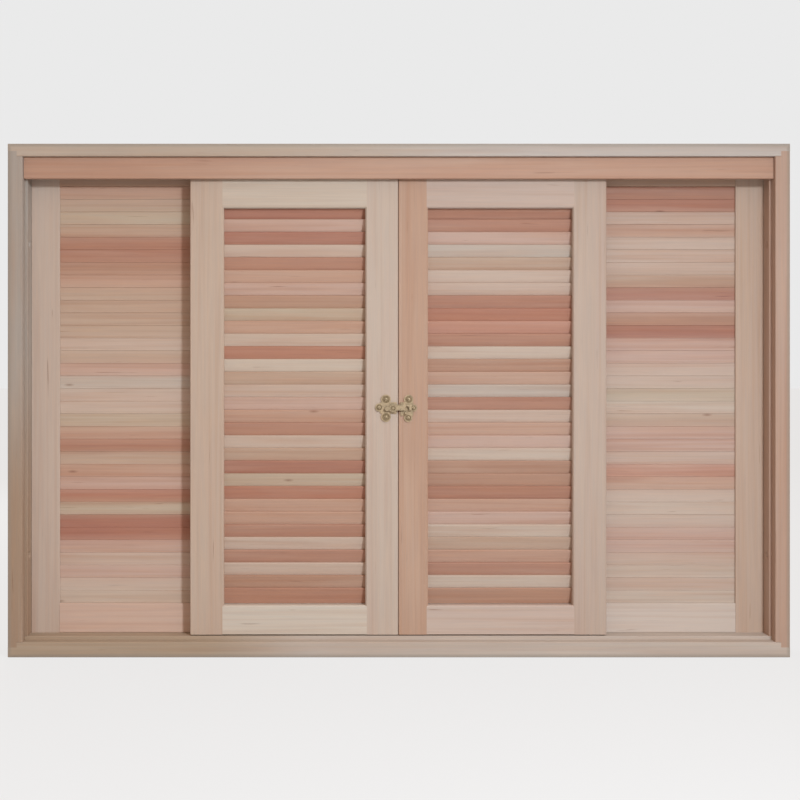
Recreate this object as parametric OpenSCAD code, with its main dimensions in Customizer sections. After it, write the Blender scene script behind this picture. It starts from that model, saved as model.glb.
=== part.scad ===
// Sliding louvred timber window in its frame. Two fixed leaves of closed boards stand at the sides,
// and two top-hung louvred leaves slide apart in front of them.
// Millimetres, Z up, X to the right as seen from the room, Y from the room to the outdoors.
// Depths named y are measured from the room face of the frame.

/* [Frame] */
// Overall width of the frame
frame_w = 1500; // [1350:1:1900]
// Overall height of the frame
frame_h = 985; // [850:1:1300]
// Thickness of the head at the room face
head_t = 24; // [20:0.5:40]
// Thickness of a jamb at the room face
jamb_t = 28; // [24:0.5:40]
// Thickness of the sill at the room face
sill_t = 29; // [24:0.5:40]
// Depth of the rebate along the room edge of the frame
rebate_d = 24; // [22:0.5:36]
// Height of the step behind the rebate
rebate_step = 5; // [3:0.5:8]
// Height of the step in the sill, under the leaves
sill_step = 7; // [5:0.5:9]
// Thickness of a jamb's tongue that is let into the head and the sill
tongue_t = 17; // [14:0.5:22]
// Depth of the housings for the tongues
housing_d = 10; // [6:0.5:14]
// Width of the eased edges of the timber
arris = 1; // [0.4:0.1:2]
// Height of the pelmet board
pelmet_h = 42; // [38:1:60]
// Thickness of the pelmet board
pelmet_t = 13; // [11:0.5:14]
// Set-back of the pelmet from the room face
pelmet_back = 10; // [0:0.5:11]
// Width of the outdoor stop beads
bead_w = 14; // [10:0.5:20]
// Depth of the outdoor stop beads
bead_d = 13.5; // [10:0.5:30]
// Radius of the fixing holes through the jambs
fixing_r = 4; // [3:0.25:5]
// Distance of the fixing holes from the frame's ends
fixing_end = 190; // [120:5:220]

/* [Leaves] */
// Thickness of every leaf
leaf_t = 28; // [26:0.5:36]
// Running gap in front of and behind a sliding leaf
leaf_clear = 3; // [2:0.5:6]
// Width of a sliding leaf
slide_w = 402.5; // [360:0.5:440]
// Gap between the two sliding leaves when they are shut
meeting_gap = 1; // [1:0.5:4]
// Width of the strips that overlap where the two leaves meet
meeting_lap = 7; // [4:0.5:7]
// Overlap of a shut sliding leaf and its fixed leaf
leaf_overlap = 66; // [40:1:90]
// Room between the jamb and the edge of an opened sliding leaf
end_room = 14; // [10:0.5:40]
// Gap between the sill and a sliding leaf
leaf_lift = 2; // [1.5:0.5:5]
// Height between the head and a sliding leaf, for the running gear
hang_space = 31; // [30:0.5:36]
// Face width of a sliding leaf's outer stile
slide_stile = 62.5; // [58:0.5:75]
// Face width of the left leaf's meeting stile, which carries the latch
latch_stile = 60.5; // [58:0.5:75]
// Face width of the right leaf's meeting stile, which carries the keeper
keeper_stile = 54.5; // [50:0.5:75]
// Face height of a sliding leaf's top rail
slide_top = 58.5; // [50:0.5:80]
// Face height of a sliding leaf's bottom rail
slide_bottom = 54; // [50:0.5:80]
// Width of the chamfer around a sliding leaf's opening
chamfer = 2.5; // [2:0.5:6]
// Depth of that chamfer
chamfer_d = 2.5; // [2:0.5:6]
// Width of a fixed leaf's stiles
fixed_stile = 55; // [45:0.5:70]
// Height of a fixed leaf's top rail
fixed_top = 46; // [44:0.5:70]
// Height of a fixed leaf's bottom rail
fixed_bottom = 57; // [44:0.5:80]
// Thickness of the tenons
tenon_t = 9; // [7:0.5:11]
// Shoulder above and below a tenon
tenon_shoulder = 15; // [13:0.5:18]
// Timber left beyond the end of a mortise
tenon_end = 16; // [12:0.5:24]

/* [Louvres] */
// Pitch of the slats and of the closed boards
slat_pitch = 24.75; // [22:0.25:30]
// Thickness of a slat
slat_t = 5.5; // [4.5:0.25:6]
// Steepness of the slats
slat_angle = 74; // [68:1:74]
// Set-back of the slats from the face of the leaf
slat_setback = 12.5; // [10:0.5:13]
// Set-back of the slats from the outdoor side of the leaf
slat_back = 1.5; // [1:0.5:2]
// Length of a slat's end in its groove
slat_housing = 7; // [4:0.5:10]
// Thickness of a closed board
board_t = 13; // [12:0.5:16]
// Set-back of the closed boards from the face of the leaf
board_setback = 4.5; // [3:0.5:6]
// Slope of a closed board's face, from its upper to its lower edge
board_slope = 1; // [0:0.25:2]
// Lap of one closed board behind the next
board_lap = 5; // [3:0.5:8]
// Length of a closed board's end in its groove
board_housing = 8; // [4:0.5:12]

/* [Running gear] */
// Width of the top track
track_w = 24; // [22:0.5:28]
// Height of the top track
track_h = 22; // [21.5:0.25:22.5]
// Wall thickness of the top track
track_wall = 1.8; // [1.5:0.1:2]
// Width of the lips that carry the wheels
track_lip = 6.5; // [6:0.25:7]
// Radius of a wheel
wheel_r = 7; // [6:0.1:7.2]
// Width of a wheel
wheel_w = 5; // [4:0.25:5.5]
// Radius of an axle
axle_r = 2; // [1.5:0.1:2.5]
// Distance of a hanger from the edge of its leaf
hanger_inset = 30; // [29:0.5:36]
// Length of a hanger's foot
foot_l = 56; // [50:1:58]
// Thickness of a hanger's foot
foot_t = 2.5; // [2:0.25:3]
// Thickness of a hanger's plate
plate_t = 3; // [2:0.25:3.5]
// Length of a bottom guide
guide_l = 40; // [30:1:60]
// Thickness of a bottom guide's foot, which is let into the sill
guide_foot = 3; // [2.5:0.25:4]
// Thickness of a bottom guide's fin
fin_t = 7; // [5:0.5:8]
// Height of a bottom guide's fin above the sill
fin_h = 11; // [9:0.5:12]

/* [Latch] */
// Height of the latch above the underside of the frame
latch_h = 477; // [400:1:600]
// Thickness of the latch and keeper plates
latch_t = 2.5; // [2:0.25:3]
// Height of the pad under the lever
pad_t = 2.2; // [2:0.1:3]
// Thickness of the lever
lever_t = 4; // [3:0.25:5]
// Radius of the pivot
pivot_r = 2.5; // [2:0.1:3]
// Radius of the keeper stud
stud_r = 3; // [2:0.1:3.5]

/* [Fasteners] */
// Radius of the screws of the corners and of the fixed leaves
joinery_screw_r = 2.5; // [2:0.1:3]
// Length of a corner screw
corner_screw_l = 60; // [50:1:70]
// Distance of the corner screws from the rebate and from the outdoor beads
corner_screw_in = 12; // [10:0.5:14]
// Length of a leaf screw in its stile
leaf_screw_grip = 28; // [20:1:32]
// Distance of the outer leaf screws from the frame's ends
leaf_screw_end = 150; // [130:5:170]
// Radius of the pelmet screws
pelmet_screw_r = 2; // [1.6:0.1:2.4]
// Length of a pelmet screw in the pelmet
pelmet_screw_grip = 24; // [18:1:30]
// Radius of the screws of the track, guides and hangers
gear_screw_r = 1.6; // [1.3:0.1:1.7]
// Length of the screws of the track, guides and hangers
gear_screw_l = 20; // [16:1:22]
// Radius of the shanks of the latch screws
latch_screw_r = 1.4; // [1.2:0.1:1.6]
// Length of the shanks of the latch screws
latch_screw_l = 14; // [12:1:16]

/* [Fits] */
// Gap around loose timber joints
fit = 0.5; // [0.3:0.1:1]
// Gap around tenons and slat ends
joint_fit = 0.15; // [0.1:0.05:0.3]
// Radial gap of a turning fit
turn_fit = 0.06; // [0.03:0.01:0.1]
// Gap between a wheel and its lip
roll_gap = 0.3; // [0.3:0.05:0.5]
// Side gap between the guide fin and its groove
fin_gap = 1.25; // [0.8:0.05:1.5]

/* [Hidden] */
$fn = 48;
e = 1;
frame_d = rebate_d + 2 * leaf_clear + 2 * leaf_t + fit + bead_d;
frame_x = frame_w / 2;
inner_x = frame_x - jamb_t - rebate_step;
sill_top = sill_t + sill_step;
head_low = frame_h - head_t - rebate_step;
rebate_high = frame_h - head_t;
slide_y = rebate_d + leaf_clear;
slide_mid = slide_y + leaf_t / 2;
fixed_y = slide_y + leaf_t + leaf_clear;
fixed_mid = fixed_y + leaf_t / 2;
bead_y = fixed_y + leaf_t + fit;

// Sliding leaf, drawn for the left side; x runs from its outer edge at 0
slide_x = -meeting_gap / 2 - slide_w;
slide_low = sill_top + leaf_lift;
slide_high = head_low - hang_space;
open_low = slide_low + slide_bottom;
open_high = slide_high - slide_top;
stile_w = slide_stile + chamfer;
louvre_low = open_low + chamfer;
louvre_high = open_high - chamfer;
slat_span = leaf_t - slat_setback - slat_back;
slat_w = (slat_span - slat_t * sin(slat_angle)) / cos(slat_angle);
slat_rise = slat_w * sin(slat_angle) + slat_t * cos(slat_angle);
slat_n = round((louvre_high - louvre_low) / slat_pitch);
groove_w = fin_t + 2 * fin_gap;
groove_top = sill_top + fin_h + 2.5;
lap_y = leaf_t / 2 - groove_w / 2;

// Fixed leaf, drawn for the left side; x runs from its jamb edge at 0
fixed_x = -inner_x + fit;
fixed_w = inner_x - fit - meeting_gap / 2 - slide_w + leaf_overlap;
fixed_low = sill_top;
fixed_high = head_low - fit;
panel_low = fixed_low + fixed_bottom;
panel_high = fixed_high - fixed_top;
board_n = round((panel_high - panel_low) / slat_pitch);
board_pitch = (panel_high - panel_low) / board_n;
board_gap = 0.2;
fixed_tenon = fixed_stile - tenon_end;

// Running gear
track_x = inner_x - 1;
track_low = head_low - track_h;
wheel_z = track_low + track_wall + roll_gap + wheel_r;
wheel_in = plate_t / 2 + 0.4;
axle_half = wheel_in + wheel_w + 0.3;
foot_w = 24;
plate_w = 2 * wheel_r - 2;
foot_screw_x = foot_l / 2 - 8;
foot_screw_y = foot_w / 2 - 3.5;
slide_travel = inner_x + slide_x - end_room;
stop_x = slide_x + hanger_inset - slide_travel - wheel_r - 0.5;
guide_x = slide_x + slide_w / 2 - slide_travel / 2;
guide_w = 18;
track_screws_x = [for (i = [-2:2]) i * track_x / 2.25];
pelmet_screws_x = [for (i = [-1.5:1:1.5]) i * frame_x * 0.55];
corner_screws_y = [rebate_d + corner_screw_in, bead_y - corner_screw_in];
leaf_screws_z = [leaf_screw_end, frame_h / 2, frame_h - leaf_screw_end];

// Latch, with x from the meeting line and z from the latch's middle
pivot_x = -10;
stud_x = 15;
stud_z = -9.5;
seat = norm([stud_x - pivot_x, stud_z]);
plate_y = slide_y - latch_t;
pad_y = plate_y - pad_t;
lever_y1 = pad_y - 0.2;
lever_y0 = lever_y1 - lever_t;
notch = stud_r + 0.8;

// Timber and metal tones of the preview
pale = "#C4B09E";
tan_tone = "#B8A08C";
rose = "#BF9F8D";
red = "#AE8068";
grey = "#B5A698";
brass = "#C3A567";
steel = "#A9ACAF";
alu = "#C9CCCF";
nylon = "#46423E";
black = "#2B2A29";

// Helpers

// Moves what is drawn from the room face to the middle of the frame's depth
module from_face() translate([0, -frame_d / 2, 0]) children();

// Draws the right-hand twin of a left-hand piece
module twin() mirror([1, 0, 0]) children();

// Box between two corners
module block(x, y, z) translate([x[0], y[0], z[0]]) cube([x[1] - x[0], y[1] - y[0], z[1] - z[0]]);

// Runs a y-z outline along X, and an x-z outline along Y
module along_x(x) translate([x[0], 0, 0]) rotate([90, 0, 90]) linear_extrude(x[1] - x[0]) children();
module along_y(y) translate([0, y[1], 0]) rotate([90, 0, 0]) linear_extrude(y[1] - y[0]) children();

// Round bar along Y
module bar_y(x, z, r, y) translate([x, y[0], z]) rotate([-90, 0, 0]) cylinder(h = y[1] - y[0], r = r);

function unit(v) = v / norm(v);

// Cuts the corners of an outline by the widths given for them
function eased(pts, cuts) = [
    for (i = [0:len(pts) - 1])
        let (n = len(pts), p = pts[i], a = pts[(i + n - 1) % n], b = pts[(i + 1) % n])
        each i < len(cuts) && cuts[i] > 0 ? [p + cuts[i] * unit(a - p), p + cuts[i] * unit(b - p)] : [p]
];

// Countersunk screw with its head's face at z = 0 and its shank down; the head is twice as wide as the shank
module screw(length, r) {
    translate([0, 0, -length]) cylinder(h = length, r = r);
    translate([0, 0, -r]) cylinder(h = r, r1 = r, r2 = 2 * r);
}

// Hole for that screw, with room around it
module screw_hole(length, r) {
    translate([0, 0, -length - 0.5]) cylinder(h = length + 0.5 + e, r = r + 0.1);
    translate([0, 0, -r]) cylinder(h = r, r1 = r + 0.1, r2 = 2 * r + 0.1);
    cylinder(h = e, r = 2 * r + 0.1);
}

// Frame

module at_corners() {
    for (side = [0, 1], y = corner_screws_y) {
        mirror([side, 0, 0]) translate([frame_x - tongue_t / 2, y, frame_h - 0.5]) children();
        mirror([side, 0, 0]) translate([frame_x - tongue_t / 2, y, 0.5]) mirror([0, 0, 1]) children();
    }
}

module at_pelmet_screws() {
    for (x = pelmet_screws_x) translate([x, pelmet_back + pelmet_t / 2, frame_h - 0.5]) children();
}

module at_track_screws() {
    for (x = track_screws_x)
        translate([x, slide_mid, head_low - track_wall]) mirror([0, 0, 1]) children();
}

module at_guide_screws() {
    for (side = [0, 1], dx = [-1, 1])
        mirror([side, 0, 0])
            translate([guide_x + dx * (guide_l / 2 - 6), slide_mid, sill_top - 0.1]) children();
}

module at_leaf_screws() {
    for (z = leaf_screws_z) translate([-frame_x + 0.5, fixed_mid, z]) rotate([0, -90, 0]) children();
}

module corner_screw() screw(corner_screw_l, joinery_screw_r);
module corner_hole() screw_hole(corner_screw_l, joinery_screw_r);
module pelmet_screw() screw(head_t + pelmet_screw_grip, pelmet_screw_r);
module pelmet_hole() screw_hole(head_t + pelmet_screw_grip, pelmet_screw_r);
module gear_screw() screw(gear_screw_l, gear_screw_r);
module gear_hole() screw_hole(gear_screw_l, gear_screw_r);
module leaf_screw() screw(jamb_t + rebate_step + leaf_screw_grip, joinery_screw_r);
module leaf_hole() screw_hole(jamb_t + rebate_step + leaf_screw_grip, joinery_screw_r);

module frame_board(outline, housing_z) {
    difference() {
        along_x([-frame_x, frame_x]) polygon(outline);
        for (side = [0, 1])
            mirror([side, 0, 0]) block([frame_x - tongue_t, frame_x + e], [-e, frame_d + e], housing_z);
    }
}

module head() color(grey) from_face() difference() {
    frame_board(
        eased(
            [[0, frame_h], [0, rebate_high], [rebate_d, rebate_high], [rebate_d, head_low],
             [frame_d, head_low], [frame_d, frame_h]],
            [arris, arris, 0, arris, arris, arris]
        ),
        [head_low - e, rebate_high + housing_d]
    );
    at_corners() corner_hole();
    at_pelmet_screws() pelmet_hole();
    at_track_screws() gear_hole();
}

module sill() color(tan_tone) from_face() difference() {
    frame_board(
        eased(
            [[0, 0], [0, sill_t], [rebate_d, sill_t], [rebate_d, sill_top],
             [frame_d, sill_top], [frame_d, 0]],
            [arris, arris, 0, arris, arris, arris]
        ),
        [sill_t - housing_d, sill_top + e]
    );
    at_corners() corner_hole();
    at_guide_screws() gear_hole();
    for (side = [0, 1]) mirror([side, 0, 0]) block(
        [guide_x - guide_l / 2 - joint_fit, guide_x + guide_l / 2 + joint_fit],
        [slide_mid - guide_w / 2 - joint_fit, slide_mid + guide_w / 2 + joint_fit],
        [sill_top - guide_foot, sill_top + e]
    );
}

// Jamb with its tongue, its rebate and its shoulders, for the left side
module jamb() difference() {
    union() {
        translate([0, 0, sill_t - housing_d])
            linear_extrude(rebate_high + housing_d - sill_t + housing_d)
                polygon(eased(
                    [[-frame_x, 0], [-frame_x + tongue_t, 0], [-frame_x + tongue_t, frame_d],
                     [-frame_x, frame_d]],
                    [arris, 0, 0, arris]
                ));
        translate([0, 0, sill_t])
            linear_extrude(rebate_high - sill_t)
                polygon(eased(
                    [[-frame_x + tongue_t - e, 0], [-frame_x + jamb_t, 0], [-frame_x + jamb_t, rebate_d],
                     [-frame_x + tongue_t - e, rebate_d]],
                    [0, arris, 0, 0]
                ));
        translate([0, 0, sill_top])
            linear_extrude(head_low - sill_top)
                polygon(eased(
                    [[-frame_x + tongue_t - e, rebate_d], [-inner_x, rebate_d], [-inner_x, frame_d],
                     [-frame_x + tongue_t - e, frame_d]],
                    [0, arris, arris, 0]
                ));
    }
    at_corners() corner_hole();
    at_leaf_screws() leaf_hole();
    for (z = [fixing_end, frame_h - fixing_end]) translate([-frame_x, slide_mid, z]) rotate([0, 90, 0]) {
        translate([0, 0, -e]) cylinder(h = jamb_t + rebate_step + 2 * e, r = fixing_r);
        translate([0, 0, jamb_t + rebate_step - fixing_r])
            cylinder(h = fixing_r + 0.1, r1 = fixing_r, r2 = 2 * fixing_r);
    }
}

module left_jamb() color(grey) from_face() jamb();
module right_jamb() color(rose) from_face() twin() jamb();

module pelmet() color(rose) from_face() difference() {
    along_x([-frame_x + jamb_t + fit, frame_x - jamb_t - fit])
        polygon(eased(
            [[pelmet_back, rebate_high], [pelmet_back, rebate_high - pelmet_h],
             [pelmet_back + pelmet_t, rebate_high - pelmet_h], [pelmet_back + pelmet_t, rebate_high]],
            [arris, arris, arris, 0]
        ));
    at_pelmet_screws() pelmet_hole();
}

module bead_bar(x, z) along_x(x) polygon(eased(
    [[bead_y, z[0]], [bead_y, z[1]], [frame_d, z[1]], [frame_d, z[0]]], [0, 0, arris, arris]
));

module jamb_bead() translate([0, 0, sill_top]) linear_extrude(head_low - sill_top) polygon(eased(
    [[-inner_x, bead_y], [-inner_x + bead_w, bead_y], [-inner_x + bead_w, frame_d], [-inner_x, frame_d]],
    [0, 0, arris, arris]
));

module head_bead() color(tan_tone) from_face()
    bead_bar([-inner_x + bead_w, inner_x - bead_w], [head_low - bead_w, head_low]);
module sill_bead() color(tan_tone) from_face()
    bead_bar([-inner_x + bead_w, inner_x - bead_w], [sill_top, sill_top + bead_w]);
module left_bead() color(tan_tone) from_face() jamb_bead();
module right_bead() color(tan_tone) from_face() twin() jamb_bead();

module corner_screws() color(steel) from_face() at_corners() corner_screw();
module pelmet_screws() color(steel) from_face() at_pelmet_screws() pelmet_screw();

// Fixed leaves, drawn for the left side

module fixed_place() from_face() translate([fixed_x, fixed_y, 0]) children();

function mid_tenon(gap) = [leaf_t / 2 - tenon_t / 2 - gap, leaf_t / 2 + tenon_t / 2 + gap];
function tenon_z(low, high, gap) = [low + tenon_shoulder - gap, high - tenon_shoulder + gap];

// Stile of a fixed leaf; edge is the width of the eased edge on its far side from the boards
module fixed_stile_bar(edge) difference() {
    translate([0, 0, fixed_low]) linear_extrude(fixed_high - fixed_low) polygon(eased(
        [[0, 0], [fixed_stile, 0], [fixed_stile, leaf_t], [0, leaf_t]], [edge, arris, arris, edge]
    ));
    block(
        [fixed_stile - board_housing - fit, fixed_stile + e],
        [board_setback - joint_fit, board_setback + board_t + joint_fit],
        [panel_low, panel_high]
    );
    for (z = [tenon_z(fixed_low, panel_low, joint_fit), tenon_z(panel_high, fixed_high, joint_fit)])
        block([fixed_stile - fixed_tenon - fit, fixed_stile + e], mid_tenon(joint_fit), z);
}

module fixed_rail(low, high) {
    along_x([fixed_stile, fixed_w - fixed_stile]) polygon(eased(
        [[0, low], [0, high], [leaf_t, high], [leaf_t, low]], [arris, arris, arris, arris]
    ));
    block(
        [fixed_stile - fixed_tenon, fixed_w - fixed_stile + fixed_tenon], mid_tenon(0), tenon_z(low, high, 0)
    );
}

// One closed board: its tongue stands behind the board above it
module board_outline(first, last) {
    step = board_t / 2;
    top = board_pitch - board_gap;
    face = [[board_slope, 0], [0, top]];
    tongue = [[step + 0.2, top], [step + 0.2, top + board_lap], [board_t, top + board_lap]];
    upper = last ? [[board_t, top]] : tongue;
    lower = first ? [[board_t, 0]] : [[board_t, board_lap], [step, board_lap], [step, 0]];
    polygon(eased(concat(face, upper, lower), [0.2, 0.8]));
}

module fixed_boards() {
    for (i = [0:board_n - 1])
        translate([0, board_setback, panel_low + board_gap / 2 + i * board_pitch])
            along_x([fixed_stile - board_housing, fixed_w - fixed_stile + board_housing])
                board_outline(i == 0, i == board_n - 1);
}

module fixed_outer_stile() difference() {
    fixed_place() fixed_stile_bar(0);
    from_face() at_leaf_screws() leaf_hole();
}

module fixed_inner_stile() fixed_place()
    translate([fixed_w, 0, 0]) mirror([1, 0, 0]) fixed_stile_bar(arris);
module fixed_top_rail() fixed_place() fixed_rail(panel_high, fixed_high);
module fixed_bottom_rail() fixed_place() fixed_rail(fixed_low, panel_low);
module fixed_screws() from_face() at_leaf_screws() leaf_screw();

module left_fixed_outer_stile() color(tan_tone) fixed_outer_stile();
module left_fixed_inner_stile() color(tan_tone) fixed_inner_stile();
module left_fixed_top_rail() color(rose) fixed_top_rail();
module left_fixed_bottom_rail() color(rose) fixed_bottom_rail();
module left_fixed_boards() color(red) fixed_place() fixed_boards();
module left_fixed_screws() color(steel) fixed_screws();
module right_fixed_outer_stile() color(tan_tone) twin() fixed_outer_stile();
module right_fixed_inner_stile() color(tan_tone) twin() fixed_inner_stile();
module right_fixed_top_rail() color(pale) twin() fixed_top_rail();
module right_fixed_bottom_rail() color(pale) twin() fixed_bottom_rail();
module right_fixed_boards() color(rose) twin() fixed_place() fixed_boards();
module right_fixed_screws() color(steel) twin() fixed_screws();

// Sliding leaves, drawn for the left side

module slide_place() from_face() translate([slide_x, slide_y, 0]) children();

// Outline of one slat; the uppermost is ripped to fit under the top rail
module slat_outline(i, gap) {
    y = slat_setback + slat_span / 2;
    z = louvre_low + joint_fit + slat_rise / 2 + i * slat_pitch;
    w = slat_w / 2 + gap;
    t = slat_t / 2 + gap;
    cut = 0.8;
    intersection() {
        translate([y, z]) rotate(180 - slat_angle) polygon(eased(
            [[-w, -t], [w, -t], [w, t], [-w, t]], [cut, cut, cut, cut]
        ));
        translate([0, louvre_low]) square([leaf_t, louvre_high - louvre_low - joint_fit + gap]);
    }
}

module slats(meeting) {
    for (i = [0:slat_n - 1])
        along_x([stile_w - slat_housing, slide_w - meeting - chamfer + slat_housing]) slat_outline(i, 0);
}

// Holes in a stile's top for the screws of a hanger
module at_foot_screws() {
    for (dx = [-1, 1], dy = [-1, 1])
        translate([
            hanger_inset + dx * foot_screw_x, leaf_t / 2 + dy * foot_screw_y, slide_high + foot_t
        ]) children();
}

module guide_groove() block(
    [-meeting_lap - e, slide_w + e],
    [leaf_t / 2 - groove_w / 2, leaf_t / 2 + groove_w / 2],
    [slide_low - e, groove_top]
);

// Stile of a sliding leaf, with x from the leaf's edge; its own edge is at start
module slide_stile_bar(face, start = 0) difference() {
    inner = face + chamfer;
    translate([0, 0, slide_low]) linear_extrude(slide_high - slide_low) polygon(eased(
        [[start, 0], [face, 0], [inner, chamfer_d], [inner, leaf_t], [start, leaf_t]],
        [start > 0 ? 0 : arris, 0, 0, arris, arris]
    ));
    along_y([-e, leaf_t + e]) polygon([
        [face, slide_low - e], [inner + e, slide_low - e], [inner + e, louvre_low + e], [face, open_low]
    ]);
    along_y([-e, leaf_t + e]) polygon([
        [face, slide_high + e], [inner + e, slide_high + e], [inner + e, louvre_high - e], [face, open_high]
    ]);
    for (z = [tenon_z(slide_low, open_low, joint_fit), tenon_z(open_high, slide_high, joint_fit)])
        block([tenon_end - fit, face + e], mid_tenon(joint_fit), z);
    for (i = [0:slat_n - 1])
        along_x([inner - slat_housing - fit, inner + e]) slat_outline(i, joint_fit);
    guide_groove();
    at_foot_screws() gear_hole();
}

// Rail with its tenons; its chamfered edge is mitred to those of the stiles
module slide_rail(shoulder, inner, outer, meeting) {
    ends = [slide_stile, slide_w - meeting];
    faces = [slide_stile, meeting];
    step = inner > outer ? chamfer : -chamfer;
    lean = inner > outer ? e : -e;
    difference() {
        along_x(ends) polygon(eased(
            [[0, outer], [0, inner], [chamfer_d, inner + step], [leaf_t, inner + step], [leaf_t, outer]],
            [arris, 0, 0, arris, arris]
        ));
        for (side = [0, 1]) translate([side * slide_w, 0, 0]) mirror([side, 0, 0])
            along_y([-e, leaf_t + e]) polygon([
                [faces[side] - e, inner - lean], [faces[side] + chamfer + e, inner + step + lean],
                [faces[side] - e, inner + step + lean]
            ]);
    }
    block([tenon_end, slide_w - tenon_end], mid_tenon(0), shoulder);
}

module slide_outer_stile() slide_place() slide_stile_bar(slide_stile);
module meeting_edge() slide_place() translate([slide_w, 0, 0]) mirror([1, 0, 0]) children();
module slide_top_rail(meeting) slide_place()
    slide_rail(tenon_z(open_high, slide_high, 0), open_high, slide_high, meeting);
module slide_bottom_rail(meeting) slide_place() difference() {
    slide_rail(tenon_z(slide_low, open_low, 0), open_low, slide_low, meeting);
    guide_groove();
}

module left_outer_stile() color(pale) slide_outer_stile();
module left_meeting_stile() color(pale) difference() {
    meeting_edge() slide_stile_bar(latch_stile);
    from_face() at_latch_screws() latch_hole();
}

// Strip on the left leaf's edge, which stands behind the right leaf's strip when the leaves are shut
module left_meeting_strip() color(pale) meeting_edge() difference() {
    block([-meeting_lap, 0], [lap_y, leaf_t], [slide_low, slide_high - e]);
    guide_groove();
}
module left_top_rail() color(pale) slide_top_rail(latch_stile);
module left_bottom_rail() color(pale) slide_bottom_rail(latch_stile);
module left_slats() color(rose) slide_place() slats(latch_stile);
module right_outer_stile() color(pale) twin() slide_outer_stile();
module right_meeting_stile() color(rose) difference() {
    twin() meeting_edge() slide_stile_bar(keeper_stile, meeting_lap);
    from_face() at_keeper_screws() latch_hole();
}

// Strip on the right leaf's edge, flush with its face
module right_meeting_strip() color(rose) twin() meeting_edge() difference() {
    translate([0, 0, slide_low]) linear_extrude(slide_high - slide_low) polygon(eased(
        [[0, 0], [meeting_lap, 0], [meeting_lap, lap_y - 2 * fit], [0, lap_y - 2 * fit]], [arris]
    ));
    guide_groove();
}
module right_top_rail() color(pale) twin() slide_top_rail(keeper_stile);
module right_bottom_rail() color(pale) twin() slide_bottom_rail(keeper_stile);
module right_slats() color(red) twin() slide_place() slats(keeper_stile);

// Running gear

module top_track() color(alu) from_face() difference() {
    half = track_w / 2;
    slot = half - track_wall - track_lip;
    along_x([-track_x, track_x]) translate([slide_mid, track_low]) polygon([
        [-half, 0], [-half, track_h], [half, track_h], [half, 0], [slot, 0], [slot, track_wall],
        [half - track_wall, track_wall], [half - track_wall, track_h - track_wall],
        [-half + track_wall, track_h - track_wall], [-half + track_wall, track_wall],
        [-slot, track_wall], [-slot, 0]
    ]);
    at_track_screws() gear_hole();
}

module track_screws() color(steel) from_face() at_track_screws() gear_screw();

// Buffer in the end of the track, for the left side
module track_stop() from_face() block(
    [-track_x, stop_x],
    [slide_mid - track_w / 2 + track_wall + 0.2, slide_mid + track_w / 2 - track_wall - 0.2],
    [track_low + track_wall, head_low - track_wall - 0.2]
);

module left_track_stop() color(black) track_stop();
module right_track_stop() color(black) twin() track_stop();

// Fin on a foot that is let into the sill, for the left side
module guide() from_face() difference() {
    union() {
        block(
            [guide_x - guide_l / 2, guide_x + guide_l / 2],
            [slide_mid - guide_w / 2, slide_mid + guide_w / 2],
            [sill_top - guide_foot, sill_top]
        );
        block(
            [guide_x - guide_l / 2 + 12, guide_x + guide_l / 2 - 12],
            [slide_mid - fin_t / 2, slide_mid + fin_t / 2],
            [sill_top - guide_foot, sill_top + fin_h]
        );
    }
    at_guide_screws() gear_hole();
}

module left_guide() color(nylon) guide();
module right_guide() color(nylon) twin() guide();
module guide_screws() color(steel) from_face() at_guide_screws() gear_screw();

// Hanger with its foot on a stile and its plate up through the track's slot
module hanger() difference() {
    union() {
        block(
            [hanger_inset - foot_l / 2, hanger_inset + foot_l / 2],
            [leaf_t / 2 - foot_w / 2, leaf_t / 2 + foot_w / 2],
            [slide_high, slide_high + foot_t]
        );
        block(
            [hanger_inset - plate_w / 2, hanger_inset + plate_w / 2],
            [leaf_t / 2 - plate_t / 2, leaf_t / 2 + plate_t / 2],
            [slide_high, wheel_z]
        );
        bar_y(hanger_inset, wheel_z, axle_r + 3, [leaf_t / 2 - plate_t / 2, leaf_t / 2 + plate_t / 2]);
    }
    bar_y(hanger_inset, wheel_z, axle_r + 0.05, [0, leaf_t]);
    at_foot_screws() gear_hole();
}

module axle() {
    bar_y(hanger_inset, wheel_z, axle_r, [leaf_t / 2 - axle_half - 0.5, leaf_t / 2 + axle_half + 0.5]);
    for (side = [-1, 1])
        bar_y(
            hanger_inset, wheel_z, axle_r + 1.2,
            [leaf_t / 2 + side * (axle_half + 0.4) - 0.4, leaf_t / 2 + side * (axle_half + 0.4) + 0.4]
        );
}

module wheels() {
    for (side = [0, 1]) translate([hanger_inset, leaf_t / 2, wheel_z]) mirror([0, side, 0])
        translate([0, wheel_in, 0]) rotate([-90, 0, 0]) rotate_extrude() polygon([
            [axle_r + turn_fit, 0], [wheel_r - 0.6, 0], [wheel_r, 0.6], [wheel_r, wheel_w - 0.6],
            [wheel_r - 0.6, wheel_w], [axle_r + turn_fit, wheel_w]
        ]);
}

// The inner hanger is the outer one mirrored about the middle of the leaf
module both_ends() {
    slide_place() children();
    meeting_edge() children();
}

module left_outer_hanger() color(steel) slide_place() hanger();
module left_inner_hanger() color(steel) meeting_edge() hanger();
module left_axles() color(steel) both_ends() axle();
module left_hanger_screws() color(steel) both_ends() at_foot_screws() gear_screw();
module left_outer_wheels() color(nylon) slide_place() wheels();
module left_inner_wheels() color(nylon) meeting_edge() wheels();
module right_outer_hanger() color(steel) twin() slide_place() hanger();
module right_inner_hanger() color(steel) twin() meeting_edge() hanger();
module right_axles() color(steel) twin() both_ends() axle();
module right_hanger_screws() color(steel) twin() both_ends() at_foot_screws() gear_screw();
module right_outer_wheels() color(nylon) twin() slide_place() wheels();
module right_inner_wheels() color(nylon) twin() meeting_edge() wheels();

// Latch

module at_latch() translate([0, 0, latch_h]) children();

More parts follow.
